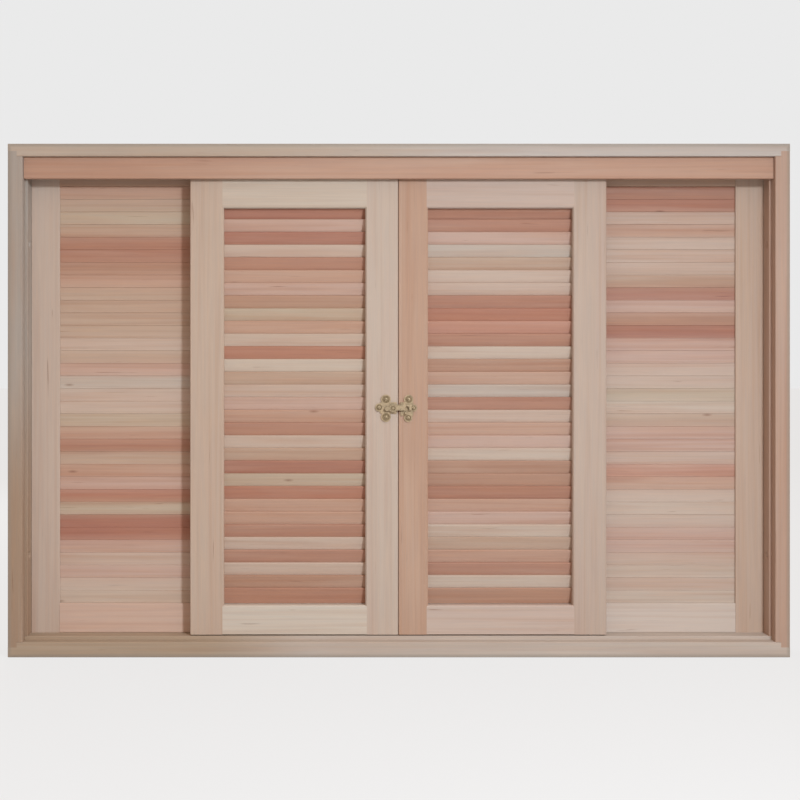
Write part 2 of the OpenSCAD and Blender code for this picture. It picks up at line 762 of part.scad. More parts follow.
module at_latch_screws() at_latch()
    for (p = [[-24, 16.5], [-24, -17.5], [-37, 1]])
        translate([p[0], plate_y - 1.2, p[1]]) rotate([90, 0, 0]) children();

module at_keeper_screws() at_latch()
    for (p = [[20, 16.5], [19, -19], [29, 0]])
        translate([p[0], plate_y - 1.2, p[1]]) rotate([90, 0, 0]) children();

// Round-headed screw with its head's underside on the plate
module latch_screw() {
    translate([0, 0, -latch_screw_l]) cylinder(h = latch_screw_l, r = latch_screw_r);
    rotate_extrude() polygon([[0, -1.2], [3, -1.2], [2.9, -0.6], [2, -0.1], [0, 0]]);
}
module latch_hole()
    translate([0, 0, -latch_screw_l - 1]) cylinder(h = latch_screw_l + 1 + e, r = latch_screw_r + 0.1);

module latch_plate() color(brass) from_face() difference() {
    at_latch() {
        bar_y(-24, 16.5, 9.5, [plate_y, slide_y]);
        bar_y(-24, -17.5, 9.5, [plate_y, slide_y]);
        bar_y(-37, 1, 8, [plate_y, slide_y]);
        block([-35, -3], [plate_y, slide_y], [-11, 11]);
        bar_y(pivot_x, 0, 7, [pad_y, slide_y]);
    }
    at_latch() bar_y(pivot_x, 0, pivot_r + 0.05, [pad_y - e, slide_y + e]);
    at_latch_screws() latch_hole();
}

module latch_pivot() color(brass) from_face() at_latch() {
    bar_y(pivot_x, 0, pivot_r, [lever_y0 - 1, slide_y]);
    bar_y(pivot_x, 0, 5, [lever_y0 - 1.7, lever_y0 - 0.2]);
}

module latch_screws() color(brass) from_face() at_latch_screws() latch_screw();

// Lever with its boss, thumb piece and hook; level when it stands clear of the stud
module latch_lever() color(brass) from_face() at_latch() difference() {
    union() {
        bar_y(pivot_x, 0, 8, [lever_y0, lever_y1]);
        block([pivot_x, pivot_x + seat + notch + 5], [lever_y0, lever_y1], [-4.5, 7]);
        block([pivot_x - 12, pivot_x], [lever_y0, lever_y1], [-5, 2]);
        bar_y(pivot_x - 12, -1.5, 4, [lever_y0 - 1.5, lever_y1]);
    }
    bar_y(pivot_x, 0, pivot_r + turn_fit, [lever_y0 - e, lever_y1 + e]);
    block(
        [pivot_x + seat - notch, pivot_x + seat + notch], [lever_y0 - e, lever_y1 + e], [-5, stud_r + 0.5]
    );
}

module keeper_plate() color(brass) from_face() difference() {
    at_latch() {
        bar_y(20, 16.5, 9, [plate_y, slide_y]);
        bar_y(19, -19, 8, [plate_y, slide_y]);
        bar_y(29, 0, 7, [plate_y, slide_y]);
        block([4, 29], [plate_y, slide_y], [-15, 11]);
    }
    at_latch() bar_y(stud_x, stud_z, stud_r - 0.95, [plate_y - e, slide_y + e]);
    at_keeper_screws() latch_hole();
}

module keeper_stud() color(brass) from_face() at_latch() {
    bar_y(stud_x, stud_z, stud_r - 1, [plate_y - 0.5, slide_y]);
    bar_y(stud_x, stud_z, stud_r, [lever_y0 - 1, plate_y]);
}

module keeper_screws() color(brass) from_face() at_keeper_screws() latch_screw();

// Drawing

head();
sill();
left_jamb();
right_jamb();
pelmet();
head_bead();
sill_bead();
left_bead();
right_bead();
corner_screws();
pelmet_screws();
top_track();
track_screws();
left_track_stop();
right_track_stop();
left_guide();
right_guide();
guide_screws();
left_fixed_outer_stile();
left_fixed_inner_stile();
left_fixed_top_rail();
left_fixed_bottom_rail();
left_fixed_boards();
left_fixed_screws();
right_fixed_outer_stile();
right_fixed_inner_stile();
right_fixed_top_rail();
right_fixed_bottom_rail();
right_fixed_boards();
right_fixed_screws();
left_outer_stile();
left_meeting_stile();
left_meeting_strip();
left_top_rail();
left_bottom_rail();
left_slats();
left_outer_hanger();
left_inner_hanger();
left_axles();
left_hanger_screws();
left_outer_wheels();
left_inner_wheels();
latch_plate();
latch_pivot();
latch_screws();
latch_lever();
right_outer_stile();
right_meeting_stile();
right_meeting_strip();
right_top_rail();
right_bottom_rail();
right_slats();
right_outer_hanger();
right_inner_hanger();
right_axles();
right_hanger_screws();
right_outer_wheels();
right_inner_wheels();
keeper_plate();
keeper_stud();
keeper_screws();
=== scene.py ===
import math

import bpy
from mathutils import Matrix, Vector


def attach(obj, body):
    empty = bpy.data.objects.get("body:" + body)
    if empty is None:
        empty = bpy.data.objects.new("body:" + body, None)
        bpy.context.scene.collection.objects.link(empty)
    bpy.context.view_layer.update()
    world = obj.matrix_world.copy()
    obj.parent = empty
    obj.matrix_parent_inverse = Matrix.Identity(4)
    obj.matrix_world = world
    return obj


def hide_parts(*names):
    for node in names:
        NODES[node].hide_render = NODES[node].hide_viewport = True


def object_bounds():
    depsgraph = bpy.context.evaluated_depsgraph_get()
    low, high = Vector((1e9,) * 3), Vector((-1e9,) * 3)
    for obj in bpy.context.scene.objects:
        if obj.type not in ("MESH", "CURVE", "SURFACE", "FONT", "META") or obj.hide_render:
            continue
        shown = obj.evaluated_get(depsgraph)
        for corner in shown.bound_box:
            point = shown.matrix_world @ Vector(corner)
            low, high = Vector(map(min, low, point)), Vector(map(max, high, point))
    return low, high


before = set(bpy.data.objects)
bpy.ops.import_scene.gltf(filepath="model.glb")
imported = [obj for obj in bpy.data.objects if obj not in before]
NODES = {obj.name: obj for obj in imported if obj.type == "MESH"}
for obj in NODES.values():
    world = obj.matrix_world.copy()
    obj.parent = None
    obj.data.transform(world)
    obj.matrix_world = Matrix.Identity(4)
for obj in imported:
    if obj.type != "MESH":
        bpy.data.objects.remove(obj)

CAD_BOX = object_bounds()
MM = 0.001


def linear(code):
    """Linear colour of an sRGB hex value."""
    parts = [int(code[i:i + 2], 16) / 255 for i in (1, 3, 5)]
    return [c / 12.92 if c <= 0.04045 else ((c + 0.055) / 1.055) ** 2.4 for c in parts] + [1.0]


def add(tree, kind, inputs=None, **settings):
    """Adds a node, with its settings and with its inputs set or linked."""
    node = tree.nodes.new(kind)
    for key, value in settings.items():
        setattr(node, key, value)
    for key, value in (inputs or {}).items():
        if isinstance(value, bpy.types.NodeSocket):
            tree.links.new(value, node.inputs[key])
        else:
            node.inputs[key].default_value = value
    return node


def new_material(name):
    """An empty material and its tree of nodes."""
    material = bpy.data.materials.new(name)
    material.use_nodes = True
    material.node_tree.nodes.clear()
    return material, material.node_tree


def surface(tree, **inputs):
    """Ends a material in one principled shader."""
    shader = add(tree, "ShaderNodeBsdfPrincipled", {k.replace("_", " "): v for k, v in inputs.items()})
    add(tree, "ShaderNodeOutputMaterial", {"Surface": shader.outputs[0]})


# Camera at the photograph's viewing angle: it looks straight at the window from left of its middle

CAMERA_OFF = 2.75
CAMERA_X = -0.119
CAMERA_Z = 0.61
WINDOW_FRONT = CAD_BOX[0][1]
IMAGE_SIDE = 800               # in pixels
PIXEL = 1.9174 * MM            # size of a pixel at the window's front
WINDOW_FOOT = (398.9, 657.4)   # pixel at which the middle of the window's foot lies
SENSOR = 36                    # in millimetres

seen_side = IMAGE_SIDE * PIXEL
seen_x = (IMAGE_SIDE / 2 - WINDOW_FOOT[0]) * PIXEL
seen_z = (WINDOW_FOOT[1] - IMAGE_SIDE / 2) * PIXEL
view = bpy.data.cameras.new("view")
view.sensor_width = SENSOR
view.lens = SENSOR * CAMERA_OFF / seen_side
view.shift_x = (seen_x - CAMERA_X) / seen_side
view.shift_y = (seen_z - CAMERA_Z) / seen_side
camera = bpy.data.objects.new("view", view)
camera.location = (CAMERA_X, WINDOW_FRONT - CAMERA_OFF, CAMERA_Z)
camera.rotation_euler = (math.pi / 2, 0, 0)
bpy.context.scene.collection.objects.link(camera)
bpy.context.scene.camera = camera
bpy.context.scene.view_settings.view_transform = "Standard"

# Studio light: a key lamp in front of the window, up on the right, and a wide soft one behind it.
# The key lamp is aimed at the floor before the window, which gets the edge of its light.


def lamp(name, place, aim, energy, size, colour):
    """Rectangular lamp, unseen by the camera, with its place, aim and size in metres."""
    light = bpy.data.lights.new(name, "AREA")
    light.energy = energy
    light.shape = "RECTANGLE"
    light.size, light.size_y = size
    light.color = colour
    holder = bpy.data.objects.new(name, light)
    holder.location = place
    holder.rotation_euler = (Vector(aim) - Vector(place)).to_track_quat("-Z", "Y").to_euler()
    holder.visible_camera = False
    bpy.context.scene.collection.objects.link(holder)


lamp("key", place=(0.95, -2.3, 1.45), aim=(-0.75, -2.0, -1.1), energy=68, size=(0.32, 0.36),
     colour=(0.92, 1.0, 1.07))
lamp("fill", place=(-1.0, 2.8, 1.9), aim=(0, 0, 0.5), energy=36, size=(1.8, 1.4), colour=(0.96, 1.0, 1.04))

# A pale room all round: it shows as a plain background and lights the window warmly

BACKGROUND = linear("#EAEAEA")
AMBIENT = (1.32, 0.98, 0.77, 1)
AMBIENT_STRENGTH = 0.48

world = bpy.data.worlds.new("studio")
bpy.context.scene.world = world
world.use_nodes = True
sky = world.node_tree
sky.nodes.clear()
path = add(sky, "ShaderNodeLightPath")
seen = add(sky, "ShaderNodeMath", {0: path.outputs["Is Camera Ray"], 1: path.outputs["Is Glossy Ray"]},
           operation="MAXIMUM")
seen = add(sky, "ShaderNodeMath", {0: seen.outputs[0], 1: path.outputs["Is Transmission Ray"]},
           operation="MAXIMUM")
ambient = add(sky, "ShaderNodeBackground", {"Color": AMBIENT, "Strength": AMBIENT_STRENGTH})
pale = add(sky, "ShaderNodeBackground", {"Color": BACKGROUND, "Strength": 1.0})
both = add(sky, "ShaderNodeMixShader", {0: seen.outputs[0], 1: ambient.outputs[0], 2: pale.outputs[0]})
add(sky, "ShaderNodeOutputWorld", {"Surface": both.outputs[0]})

# Matt floor: it glows a little for the camera, so that it meets the background and keeps a soft shadow

FLOOR_SIZE = 30
FLOOR_BOUNCE = 0.5    # share of the light that it sends back to the window
FLOOR_SHADE = 0.1     # share that the camera sees it send back
FLOOR_GLOW = 0.745

bpy.ops.object.select_all(action="DESELECT")
bpy.ops.mesh.primitive_plane_add(size=FLOOR_SIZE)
floor = bpy.context.object
floor.name = "floor"
floor_paint, tree = new_material("matt pale studio floor")
path = add(tree, "ShaderNodeLightPath")
shade = add(tree, "ShaderNodeMapRange", {"Value": path.outputs["Is Camera Ray"], "To Min": FLOOR_BOUNCE,
                                         "To Max": FLOOR_SHADE})
matt = add(tree, "ShaderNodeBsdfDiffuse", {"Color": shade.outputs[0]})
glow = add(tree, "ShaderNodeMath", {0: path.outputs["Is Camera Ray"], 1: FLOOR_GLOW}, operation="MULTIPLY")
lift = add(tree, "ShaderNodeEmission", {"Color": (1, 1, 1, 1), "Strength": glow.outputs[0]})
both = add(tree, "ShaderNodeAddShader", {0: matt.outputs[0], 1: lift.outputs[0]})
add(tree, "ShaderNodeOutputMaterial", {"Surface": both.outputs[0]})
floor.data.materials.append(floor_paint)

# Timber: planed, unfinished cedar. Every board has its own tone between cream and red-brown, with straight
# streaks along its length, fine fibres, a few dark resin streaks and hardly any gloss.

# Length along the grain and width across it of each pattern, in millimetres, and how much it wanders
GRAIN = {
    "drift": (420, 36, 0.4),
    "rings": (620, 11, 0.7),
    "fibre": (70, 2.2, 0.2),    # fibres are nearer 0.5 mm wide; drawn coarser so that they show
    "streak": (110, 5, 0.4),
}
SEED_STEP = 1.37                # the seeds of the members lie this far apart
SEED_SHIFT = (3.1, 7.7, 5.3)    # a seed of 1 shifts the patterns by this many of their own lengths
ROW_SHIFT = 37.0                # the patterns of a slat or board are shifted by up to this many
FIGURE = 0.35                   # strength of the growth rings in the members
ROW_FIGURE = 0.45               # and in the slats and boards
ROUGHNESS = (0.56, 0.74)

PALE = "#CDBDAE"
RING = "#E2CABC"
FIBRE = "#DFCBB9"
RESIN = "#A5826E"
KNOT = "#A07A62"
EDGE_GREY = "#948E84"

KNOT_ROOM = (260, 75, 75)    # a patch of this length and width, in millimetres, has one small knot at most
KNOT_SHARE = 0.12            # share of the patches that have one
KNOT_RADIUS = 0.045          # share of its patch
FRAME = ("head", "sill", "left_jamb", "right_jamb")
EDGE_WIDTH = 8               # the outer front edge of the frame is painted grey over this width
EDGE_FULL = 0.4              # share of that width, next to the corner, where the grey is full

TONES = {
    "c": "#C6B8A9",    # cream
    "p": "#C3B0A1",    # pale
    "g": "#BDB3A7",    # grey-pale
    "o": "#BAAB97",    # olive-pale
    "k": "#C1A597",    # pink
    "t": "#B8A08D",    # tan
    "r": "#BC9B88",    # rose-tan
    "s": "#BE9280",    # rose-orange
    "w": "#B08D79",    # brown-tan
    "b": "#AC816E",    # red-brown
    "d": "#AE7C68",    # red
    "x": "#A67463",    # deep red
}

# Slats and boards as the frame has them, in millimetres
SLAT_LEAN = math.radians(74)
SLAT_STEP = 6.822     # across the slats
SLAT_FIRST = 23.71
BOARD_STEP = 24.742
BOARD_FIRST = 93
BOARD_LAP = 5
BOARD_MIDDLE = 19.0


def slat_row(tree, place):
    """Place of a point in the row of slats, counted in slats from the bottom up."""
    across = add(tree, "ShaderNodeVectorMath", {0: place, 1: (0, math.sin(SLAT_LEAN), math.cos(SLAT_LEAN))},
                 operation="DOT_PRODUCT")
    return add(tree, "ShaderNodeMath", {0: across.outputs["Value"], 1: 1 / (SLAT_STEP * MM),
                                        2: -SLAT_FIRST / SLAT_STEP}, operation="MULTIPLY_ADD").outputs[0]


def board_row(tree, place):
    """The same for the closed boards; the rear half of a board stands a lap higher."""
    parts = add(tree, "ShaderNodeSeparateXYZ", {0: place})
    rear = add(tree, "ShaderNodeMath", {0: parts.outputs["Y"], 1: BOARD_MIDDLE * MM}, operation="GREATER_THAN")
    low = add(tree, "ShaderNodeMath", {0: rear.outputs[0], 1: BOARD_LAP * MM, 2: BOARD_FIRST * MM},
              operation="MULTIPLY_ADD")
    height = add(tree, "ShaderNodeMath", {0: parts.outputs["Z"], 1: low.outputs[0]}, operation="SUBTRACT")
    return add(tree, "ShaderNodeMath", {0: height.outputs[0], 1: BOARD_STEP * MM}, operation="DIVIDE").outputs[0]


def row_tones(tree, row, tones, blend, lift):
    """Tone of each slat or board of a row, and the shift of its patterns; blend is how far the tones of
    neighbours run into each other, and lift is how much paler the row is than the tones are written."""
    number = add(tree, "ShaderNodeMath", {0: row}, operation="FLOOR").outputs[0]
    part = add(tree, "ShaderNodeMath", {0: row}, operation="FRACT")
    part = add(tree, "ShaderNodeMath", {0: part.outputs[0], 1: blend, 2: 0.5 - 0.5 * blend},
               operation="MULTIPLY_ADD")
    spot = add(tree, "ShaderNodeMath", {0: number, 1: part.outputs[0]}, operation="ADD")
    share = add(tree, "ShaderNodeMath", {0: spot.outputs[0], 1: 1 / len(tones)}, operation="MULTIPLY")
    ramp = add(tree, "ShaderNodeValToRGB", {0: share.outputs[0]})
    stops = ramp.color_ramp.elements

    def lifted(letter):
        return [value * by for value, by in zip(linear(TONES[letter]), lift)]

    # A ramp holds 32 stops, so the middle of three equal tones gets none
    stops.remove(stops[1])
    stops[0].position = 0.5 / len(tones)
    stops[0].color = lifted(tones[0])
    for i in range(1, len(tones)):
        if not tones[i - 1] == tones[i] == tones[min(i + 1, len(tones) - 1)]:
            stops.new((i + 0.5) / len(tones)).color = lifted(tones[i])
    chance = add(tree, "ShaderNodeTexWhiteNoise", {"W": number}, noise_dimensions="1D")
    offset = add(tree, "ShaderNodeVectorMath", {0: chance.outputs["Color"], "Scale": ROW_SHIFT},
                 operation="SCALE")
    return ramp.outputs[0], offset.outputs[0]


def knots(tree, place, offset):
    """A few small knots that run through the slats or boards; 1 in the heart of a knot, 0 outside it."""
    spot = add(tree, "ShaderNodeVectorMath", {0: place, 1: [1 / (s * MM) for s in KNOT_ROOM], 2: offset},
               operation="MULTIPLY_ADD")
    parts = add(tree, "ShaderNodeSeparateXYZ", {0: spot.outputs[0]})
    face = add(tree, "ShaderNodeCombineXYZ", {"X": parts.outputs["X"], "Y": parts.outputs["Z"]})
    patch = add(tree, "ShaderNodeTexVoronoi", {"Vector": face.outputs[0], "Scale": 1.0},
                voronoi_dimensions="2D")
    chance = add(tree, "ShaderNodeSeparateColor", {0: patch.outputs["Color"]})
    chosen = add(tree, "ShaderNodeMath", {0: chance.outputs[0], 1: KNOT_SHARE}, operation="LESS_THAN")
    near = add(tree, "ShaderNodeMapRange", {"Value": patch.outputs["Distance"], "From Min": KNOT_RADIUS,
                                            "From Max": 0.0})
    return add(tree, "ShaderNodeMath", {0: chosen.outputs[0], 1: near.outputs[0]},
               operation="MULTIPLY").outputs[0]


def outer_edge(tree, place):
    """1 along the outer front edge of the frame, 0 elsewhere."""
    parts = add(tree, "ShaderNodeSeparateXYZ", {0: place})
    aside = add(tree, "ShaderNodeMath", {0: parts.outputs["X"]}, operation="ABSOLUTE")

    def near(value, limit, inward):
        width = inward * EDGE_WIDTH * MM
        return add(tree, "ShaderNodeMapRange", {"Value": value, "From Min": limit + width,
                                                "From Max": limit + width * EDGE_FULL}).outputs[0]

    low, high = CAD_BOX
    ends = add(tree, "ShaderNodeMath", {0: near(parts.outputs["Z"], low[2], 1),
                                        1: near(parts.outputs["Z"], high[2], -1)}, operation="MAXIMUM")
    rim = add(tree, "ShaderNodeMath", {0: near(aside.outputs[0], high[0], -1), 1: ends.outputs[0]},
              operation="MAXIMUM")
    return add(tree, "ShaderNodeMath", {0: near(parts.outputs["Y"], low[1], 1), 1: rim.outputs[0]},
               operation="MULTIPLY").outputs[0]


def timber(node, warm, grain="X", tone=None, seed=0.0, far=None, row=None):
    """Cedar for a node: of one tone, of one that changes to a far tone between two places along the grain, or
    of the tones of a row of slats or boards."""
    material, tree = new_material("planed cedar, " + node.replace("_", " "))
    place = add(tree, "ShaderNodeTexCoord").outputs["Object"]
    if row:
        count, *look = row
        base, offset = row_tones(tree, count(tree, place), *look)
    else:
        base, offset = linear(tone), [seed * shift for shift in SEED_SHIFT]
    if far:
        end, start, stop = far
        along = add(tree, "ShaderNodeSeparateXYZ", {0: place}).outputs[grain]
        share = add(tree, "ShaderNodeMapRange", {"Value": along, "From Min": start * MM, "From Max": stop * MM},
                    interpolation_type="SMOOTHSTEP")
        base = add(tree, "ShaderNodeMix", {0: share.outputs[0], 6: base, 7: linear(end)},
                   data_type="RGBA").outputs[2]
    patterns = {}
    for layer, (long, wide, wave) in GRAIN.items():
        size = (long, wide, wide) if grain == "X" else (wide, wide, long)
        spot = add(tree, "ShaderNodeVectorMath", {0: place, 1: [1 / (s * MM) for s in size], 2: offset},
                   operation="MULTIPLY_ADD")
        noise = add(tree, "ShaderNodeTexNoise", {"Vector": spot.outputs[0], "Scale": 1.0, "Detail": 2.0,
                                                 "Roughness": 0.55, "Distortion": wave})
        patterns[layer] = noise.outputs["Fac"]

    def lay(colour, layer, low, high, most, tint, blend_type="MIX"):
        """Lays a tint over the colour, from none where the layer's pattern is low to most where it is high."""
        share = add(tree, "ShaderNodeMapRange", {"Value": patterns[layer], "From Min": low, "From Max": high,
                                                 "To Max": most})
        return add(tree, "ShaderNodeMix", {0: share.outputs[0], 6: colour, 7: linear(tint)}, data_type="RGBA",
                   blend_type=blend_type).outputs[2]

    colour = lay(base, "drift", 0.48, 0.76, 0.32, warm)
    colour = lay(colour, "drift", 0.46, 0.24, 0.2, PALE)
    colour = lay(colour, "rings", 0.45, 0.75, ROW_FIGURE if row else FIGURE, RING, "MULTIPLY")
    colour = lay(colour, "fibre", 0.35, 0.7, 0.3, FIBRE, "SOFT_LIGHT")
    colour = lay(colour, "streak", 0.7, 0.82, 0.6, RESIN, "MULTIPLY")
    if row:
        patterns["knot"] = knots(tree, place, offset)
        colour = lay(colour, "knot", 0.0, 1.0, 0.6, KNOT, "MULTIPLY")
    # The outer front edge of the frame is painted grey
    if node in FRAME:
        patterns["edge"] = outer_edge(tree, place)
        colour = lay(colour, "edge", 0.0, 1.0, 0.55, EDGE_GREY)
    rough = add(tree, "ShaderNodeMapRange", {"Value": patterns["rings"], "To Min": ROUGHNESS[0],
                                             "To Max": ROUGHNESS[1]})
    relief = add(tree, "ShaderNodeBump", {"Strength": 0.25, "Distance": 0.4 * MM, "Height": patterns["fibre"]})
    surface(tree, Base_Color=colour, Roughness=rough.outputs[0], Specular_IOR_Level=0.35,
            Normal=relief.outputs[0])
    return material


def dress(node, material):
    """Gives a CAD node its material."""
    for place in NODES[node].material_slots:
        place.material = material


# Node, tone, warmer tone that it drifts to and direction of the grain; and, where the tone changes along the
# grain, the tone at the far end and the places where the change starts and stops, in millimetres
MEMBERS = [
    ("head", "#B6AB9E", "#B9A490", "X", "#BBB7B3", -300, 300),
    ("sill", "#AA9A87", "#AC9179", "X", "#BBB2A9", -400, -150),
    ("left_jamb", "#A08B78", "#A28269", "Z", "#A7A19A", 250, 650),
    ("right_jamb", "#B19889", "#B3917B", "Z", "#B49C8E", 350, 650),
    ("pelmet", "#B69481", "#B38572", "X", "#B89886", -420, -150),
    ("head_bead", "#B5A491", "#B79C84", "X"),
    ("sill_bead", "#B5A491", "#B79C84", "X"),
    ("left_bead", "#B5A491", "#B79C84", "Z"),
    ("right_bead", "#B8A592", "#B79C84", "Z"),
    ("left_fixed_outer_stile", "#C1B2A6", "#C1A899", "Z"),
    ("left_fixed_inner_stile", "#BFA997", "#BC9C88", "Z"),
    ("left_fixed_top_rail", "#B99E8C", "#B58C76", "X"),
    ("left_fixed_bottom_rail", "#CAB2A4", "#C8A695", "X"),
    ("right_fixed_outer_stile", "#BCA99A", "#B59D88", "Z"),
    ("right_fixed_inner_stile", "#C2AC9A", "#BC9C88", "Z"),
    ("right_fixed_top_rail", "#BFA593", "#B8917C", "X"),
    ("right_fixed_bottom_rail", "#C7BEB6", "#C2AEA4", "X"),
    ("left_outer_stile", "#BCAB9C", "#BBA190", "Z"),
    ("left_meeting_stile", "#BEB1A5", "#BDA69A", "Z"),
    ("left_meeting_strip", "#BEB1A5", "#BDA69A", "Z"),
    ("left_top_rail", "#C3B9AC", "#C0AF9F", "X"),
    ("left_bottom_rail", "#C9C2B7", "#C7BBAC", "X"),
    ("right_outer_stile", "#B7A89C", "#B69E94", "Z"),
    ("right_meeting_stile", "#B59885", "#B08B78", "Z"),
    ("right_meeting_strip", "#B59885", "#B08B78", "Z"),
    ("right_top_rail", "#BDAEA4", "#BDA59A", "X"),
    ("right_bottom_rail", "#C1B2A8", "#C2AAA0", "X"),
]
for i, (node, tone, warm, grain, *far) in enumerate(MEMBERS):
    dress(node, timber(node, warm, grain, tone, (i + 1) * SEED_STEP, far))

# Tones of the slats and boards as they were picked, from the bottom up
# The top slat of each row, the last letter, has a darker tone: painted shade for the shadow that the top rail
# casts on it
LEFT_SLATS = "bwpbpbrrdoxtpbrkptcdcrowkrbpxkx"
RIGHT_SLATS = "wcbrtckrbwwckrpbgrwcbsdbpptgkbb"
LEFT_BOARDS = "cpkpkxxodkrtbroppgktpttttrwbbtotr"
RIGHT_BOARDS = "cpcpkkpcprspkktcoppkkxwkxtppprpdb"
SLAT_BLEND = 0.15
BOARD_BLEND = 0.65
ROW_WARM = "#BA9078"

# Each row is lifted by its own measure, which evens out the light that it gets
for node, *row in (
    ("left_slats", slat_row, LEFT_SLATS, SLAT_BLEND, (1.04, 1.08, 1.11, 1)),
    ("right_slats", slat_row, RIGHT_SLATS, SLAT_BLEND, (1.01, 1.05, 1.10, 1)),
    ("left_fixed_boards", board_row, LEFT_BOARDS, BOARD_BLEND, (1.02, 1.04, 1.07, 1)),
    ("right_fixed_boards", board_row, RIGHT_BOARDS, BOARD_BLEND, (0.94, 0.97, 1.02, 1)),
):
    dress(node, timber(node, ROW_WARM, row=row))

# Metals, nylon and rubber of the running gear and the latch

LATCH = ("latch", "keeper")
TRACK = ["top_track"]
STEEL = [n for n in NODES if n.endswith(("_screws", "_hanger", "_axles")) and not n.startswith(LATCH)]
NYLON = [n for n in NODES if n.endswith(("_wheels", "_guide"))]
RUBBER = ["left_track_stop", "right_track_stop"]
BRASS = [n for n in NODES if n.startswith(LATCH)]


def finish(name, low, high, metallic, rough, size, strength):
    """A metal or plastic that mottles between two tones over patches of the given size in millimetres;
    strength is that of its relief."""
    material, tree = new_material(name)
    place = add(tree, "ShaderNodeTexCoord").outputs["Object"]
    spot = add(tree, "ShaderNodeVectorMath", {0: place, 1: [1 / (s * MM) for s in size]}, operation="MULTIPLY")
    noise = add(tree, "ShaderNodeTexNoise", {"Vector": spot.outputs[0], "Scale": 1.0, "Detail": 3.0})
    patch = add(tree, "ShaderNodeMapRange", {"Value": noise.outputs["Fac"], "From Min": 0.35, "From Max": 0.65})
    colour = add(tree, "ShaderNodeMix", {0: patch.outputs[0], 6: linear(low), 7: linear(high)},
                 data_type="RGBA")
    gloss = add(tree, "ShaderNodeMapRange", {"Value": patch.outputs[0], "To Min": rough[0],
                                             "To Max": rough[1]})
    relief = add(tree, "ShaderNodeBump", {"Strength": strength, "Distance": 0.2 * MM,
                                          "Height": noise.outputs["Fac"]})
    surface(tree, Base_Color=colour.outputs[2], Metallic=metallic, Roughness=gloss.outputs[0],
            Normal=relief.outputs[0])
    return material


# Extruded aluminium as it leaves the mill: pale, half dull, with faint lines along its length
aluminium = finish("mill-finish aluminium", "#C2C5C7", "#D0D2D3", metallic=1.0, rough=(0.32, 0.45),
                   size=(120, 1.5, 1.5), strength=0.08)
# Zinc-plated steel: bluish grey with cloudy patches
zinc = finish("zinc-plated steel", "#A9ADB0", "#C0BFB8", metallic=1.0, rough=(0.3, 0.48), size=(7, 7, 7),
              strength=0.06)
# Moulded nylon: dark grey-brown, slightly waxy
nylon = finish("moulded dark nylon", "#3F3B37", "#4B4742", metallic=0.0, rough=(0.38, 0.5), size=(9, 9, 9),
               strength=0.05)
# Moulded rubber: dull black with a bloom
rubber = finish("moulded black rubber", "#262524", "#34322F", metallic=0.0, rough=(0.7, 0.85), size=(6, 6, 6),
                strength=0.15)
# Cast brass, tumbled and lacquered long ago: pale olive straw with brown tarnish in patches
brass = finish("cast brass", "#96846B", "#BFA98B", metallic=1.0, rough=(0.52, 0.68), size=(9, 9, 9),
               strength=0.05)
# The same brass where no hand rubs it: brown and dull
tarnish = finish("tarnished brass", "#7B6950", "#9A866A", metallic=1.0, rough=(0.55, 0.7), size=(4, 4, 4),
                 strength=0.08)

for nodes, material in ((TRACK, aluminium), (STEEL, zinc), (NYLON, nylon), (RUBBER, rubber), (BRASS, brass)):
    for node in nodes:
        dress(node, material)

# Latch and keeper, cast in brass: plates with dished lobes, a lever with a hook, and slotted screws.
# Places are in millimetres from the meeting line and from the middle of the latch; depths are those of the frame.

LATCH_HEIGHT = 477
PLATE_DEPTH = (-25.5, -23)
LEVER_DEPTH = (-31.9, -27.9)
PLATE_CUT = (-30, -20)    # depths that pass right through a plate or the lever
LEVER_CUT = (-40, -20)
ROUND_SIDES = 48
SMOOTH_ANGLE = math.radians(40)
BEVEL_SEGMENTS = 2

PLATE_X = (-35, -3)
PLATE_Z = (-11, 11)
PLATE_LOBES = ((-24, 16.5, 9.5), (-24, -17.5, 9.5), (-37, 1, 8))
PLATE_BORE = 2.55
KEEPER_X = (4, 29)
KEEPER_Z = (-15, 11)
KEEPER_LOBES = ((20, 16.5, 9), (19, -19, 8), (29, 0, 7))
KEEPER_BORE = 2.05
PLATE_ROUNDING = 0.5
DISH_RIM = 2.2
DISH_DEPTH = 0.7
DISH_CLEAR = 1            # how far the tools for the dishes stand out
SCREW_BORE = 1.5

PIVOT = (-10, 0)
PAD_RADIUS = 7
PAD_DEPTH = (-27.7, -23)
PIN_RADIUS = 2.5
PIN_DEPTH = (-33.5, -23)
RING_RADIUS = 5
RING_DEPTH = (-33.6, -32.1)
RING_DISH = 4.3
RING_DISH_DEPTH = (-40, -32.7)
PIVOT_ROUNDING = 0.25

ARM_X = (-10, 25.54)
ARM_Z = (-4.5, 7)
EYE_RADIUS = 8
LEVER_BORE = 2.56
TAIL_X = (-22, -10)
TAIL_Z = (-5, 2)
THUMB = (-22, -1.5, 4)
THUMB_RISE = 1.5
HOOK_X = 16.74
HOOK_Z = -0.3
HOOK_RADIUS = 3.8
HOOK_FOOT = -8
LEVER_ROUNDING = 0.7

STUD = (15, -9.5)
STUD_RADIUS = 3
STUD_DEPTH = (-32.9, -25.5)
STUD_FOOT = 2
STUD_FOOT_DEPTH = (-26, -23)
STUD_ROUNDING = 0.6

SCREW_RADIUS = 3
SCREW_DEPTH = (-26.4, -24.8)
DOME_INSET = 0.9
DOME_RISE = 0.3
SLOT_X = (-3.2, 3.2)
SLOT_DEPTH = (-27.5, -26.1)
SLOT_HALF = 0.45
SHANK_RADIUS = 1.4
SHANK_DEPTH = (-25, -12.7)
FIRST_TURN = 0.4          # the slots of the screws stand at these angles, in radians
TURN_STEP = 0.9


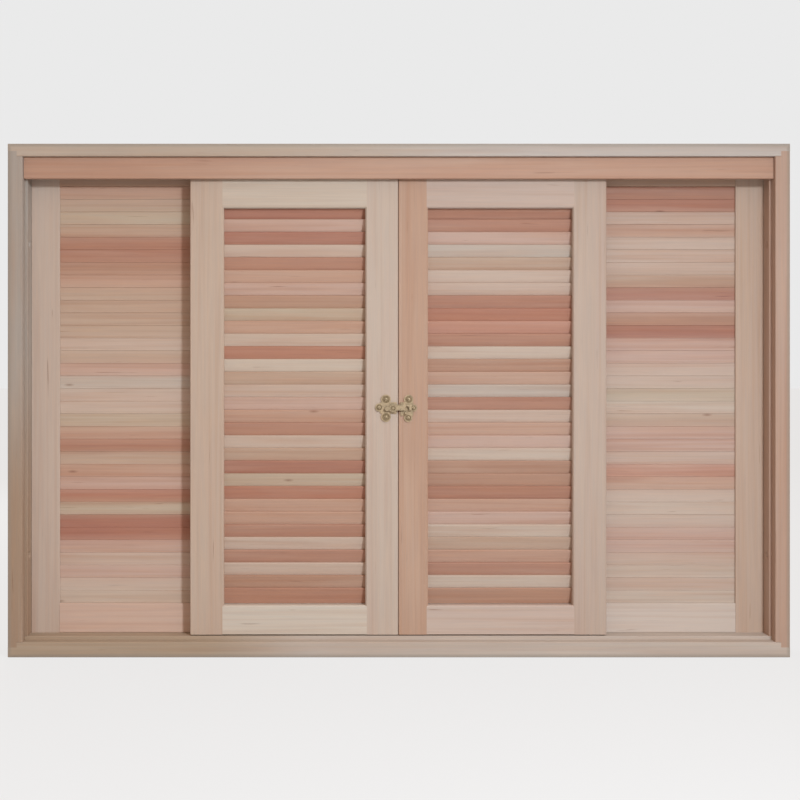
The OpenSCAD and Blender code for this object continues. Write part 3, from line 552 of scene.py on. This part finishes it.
def disc(x, z, r, depth, metal=None):
    """Round bar along Y."""
    bpy.ops.object.select_all(action="DESELECT")
    middle = (x * MM, sum(depth) / 2 * MM, (LATCH_HEIGHT + z) * MM)
    bpy.ops.mesh.primitive_cylinder_add(vertices=ROUND_SIDES, radius=r * MM, depth=(depth[1] - depth[0]) * MM,
                                        location=middle, rotation=(math.pi / 2, 0, 0))
    bpy.ops.object.transform_apply(location=True, rotation=True, scale=True)
    bpy.context.object.data.materials.append(metal or brass)
    return bpy.context.object


def block(x, depth, z, metal=None):
    """Box between two corners."""
    bpy.ops.object.select_all(action="DESELECT")
    middle = (sum(x) / 2 * MM, sum(depth) / 2 * MM, (LATCH_HEIGHT + sum(z) / 2) * MM)
    size = ((x[1] - x[0]) * MM, (depth[1] - depth[0]) * MM, (z[1] - z[0]) * MM)
    bpy.ops.mesh.primitive_cube_add(size=1, location=middle, scale=size)
    bpy.ops.object.transform_apply(location=True, rotation=True, scale=True)
    bpy.context.object.data.materials.append(metal or brass)
    return bpy.context.object


def pick(obj):
    """Makes an object the only one selected, and the active one."""
    bpy.ops.object.select_all(action="DESELECT")
    obj.select_set(True)
    bpy.context.view_layer.objects.active = obj


def combine(body, added, cut):
    """Joins pieces to a body and then cuts others out of it."""
    for operation, tools in (("UNION", added), ("DIFFERENCE", cut)):
        for tool in tools:
            pick(body)
            bpy.ops.object.modifier_add(type="BOOLEAN")
            body.modifiers[-1].operation = operation
            body.modifiers[-1].object = tool
            body.modifiers[-1].material_mode = "TRANSFER"
            bpy.ops.object.modifier_apply(modifier=body.modifiers[-1].name)
            bpy.data.objects.remove(tool)


def cast(obj, name, node, body, width):
    """Rounds the edges of a finished piece, keeps its flats flat, and puts it in place of its node."""
    pick(obj)
    obj.name = name
    bpy.ops.object.modifier_add(type="BEVEL")
    obj.modifiers[-1].width = width * MM
    obj.modifiers[-1].segments = BEVEL_SEGMENTS
    obj.modifiers[-1].limit_method = "ANGLE"
    obj.modifiers[-1].use_clamp_overlap = True
    bpy.ops.object.modifier_apply(modifier=obj.modifiers[-1].name)
    bpy.ops.object.shade_smooth_by_angle(angle=SMOOTH_ANGLE)
    bpy.ops.object.modifier_add(type="WEIGHTED_NORMAL")
    obj.modifiers[-1].keep_sharp = True
    bpy.ops.object.modifier_apply(modifier=obj.modifiers[-1].name)
    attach(obj, body)
    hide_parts(node)


def dishes(lobes):
    """Tools for the shallow dishes in the lobes, and for the holes of their screws."""
    front = PLATE_DEPTH[0]
    return ([disc(x, z, r - DISH_RIM, (front - DISH_CLEAR, front + DISH_DEPTH), tarnish) for x, z, r in lobes]
            + [disc(x, z, SCREW_BORE, (front - DISH_CLEAR, 0)) for x, z, _ in lobes])


plate = block(PLATE_X, PLATE_DEPTH, PLATE_Z)
combine(plate, [disc(*lobe, PLATE_DEPTH) for lobe in PLATE_LOBES] + [disc(*PIVOT, PAD_RADIUS, PAD_DEPTH)],
        dishes(PLATE_LOBES) + [disc(*PIVOT, PLATE_BORE, PLATE_CUT)])
cast(plate, "latch_plate_cast", "latch_plate", "left_leaf", PLATE_ROUNDING)

keeper = block(KEEPER_X, PLATE_DEPTH, KEEPER_Z)
combine(keeper, [disc(*lobe, PLATE_DEPTH) for lobe in KEEPER_LOBES],
        dishes(KEEPER_LOBES) + [disc(*STUD, KEEPER_BORE, PLATE_CUT)])
cast(keeper, "keeper_plate_cast", "keeper_plate", "right_leaf", PLATE_ROUNDING)

lever = block(ARM_X, LEVER_DEPTH, ARM_Z)
combine(lever, [disc(*PIVOT, EYE_RADIUS, LEVER_DEPTH), block(TAIL_X, LEVER_DEPTH, TAIL_Z),
                disc(*THUMB, (LEVER_DEPTH[0] - THUMB_RISE, LEVER_DEPTH[1]))],
        [disc(HOOK_X, HOOK_Z, HOOK_RADIUS, LEVER_CUT),
         block((HOOK_X - HOOK_RADIUS, HOOK_X + HOOK_RADIUS), LEVER_CUT, (HOOK_FOOT, HOOK_Z)),
         disc(*PIVOT, LEVER_BORE, LEVER_CUT)])
cast(lever, "latch_lever_cast", "latch_lever", "latch", LEVER_ROUNDING)

pivot = disc(*PIVOT, PIN_RADIUS, PIN_DEPTH)
ring = disc(*PIVOT, RING_RADIUS, RING_DEPTH)
combine(ring, [], [disc(*PIVOT, RING_DISH, RING_DISH_DEPTH, tarnish)])
combine(pivot, [ring], [])
cast(pivot, "latch_pivot_turned", "latch_pivot", "left_leaf", PIVOT_ROUNDING)

stud = disc(*STUD, STUD_RADIUS, STUD_DEPTH)
combine(stud, [disc(*STUD, STUD_FOOT, STUD_FOOT_DEPTH)], [])
cast(stud, "keeper_stud_turned", "keeper_stud", "right_leaf", STUD_ROUNDING)


def slotted_screw():
    """Round-headed screw on the axis Y of the frame, with its slot level."""
    axis = (0, -LATCH_HEIGHT)
    head = disc(*axis, SCREW_RADIUS, SCREW_DEPTH)
    bpy.ops.object.mode_set(mode="EDIT")
    bpy.ops.mesh.select_all(action="DESELECT")
    bpy.ops.object.mode_set(mode="OBJECT")
    for face in head.data.polygons:
        face.select = face.normal.y < -0.9    # the front of the head
    bpy.ops.object.mode_set(mode="EDIT")
    bpy.ops.mesh.select_mode(type="FACE")
    bpy.ops.mesh.inset(thickness=DOME_INSET * MM)
    bpy.ops.transform.translate(value=(0, -DOME_RISE * MM, 0))
    bpy.ops.object.mode_set(mode="OBJECT")
    slot = block(SLOT_X, SLOT_DEPTH, (-LATCH_HEIGHT - SLOT_HALF, -LATCH_HEIGHT + SLOT_HALF), tarnish)
    combine(head, [disc(*axis, SHANK_RADIUS, SHANK_DEPTH)], [slot])
    return head


def copies(model, name, node, body, places):
    """Sets copies of a finished piece at the places and turns given, and joins them into one piece."""
    made = []
    for place, turn in places:
        one = model.copy()
        one.data = model.data.copy()
        one.location = [value * MM for value in place]
        one.rotation_euler = turn
        bpy.context.scene.collection.objects.link(one)
        made.append(one)
    pick(made[0])
    for one in made:
        one.select_set(True)
    bpy.ops.object.join()
    bpy.ops.object.transform_apply(location=True, rotation=True, scale=True)
    joined = bpy.context.object
    joined.name = name
    bpy.ops.object.shade_smooth_by_angle(angle=SMOOTH_ANGLE)
    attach(joined, body)
    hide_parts(node)


screw = slotted_screw()
for name, body, lobes in (("latch_screws", "left_leaf", PLATE_LOBES),
                          ("keeper_screws", "right_leaf", KEEPER_LOBES)):
    copies(screw, name + "_slotted", name, body,
           [((x, 0, LATCH_HEIGHT + z), (0, FIRST_TURN + TURN_STEP * i, 0)) for i, (x, z, _) in enumerate(lobes)])
bpy.data.objects.remove(screw)
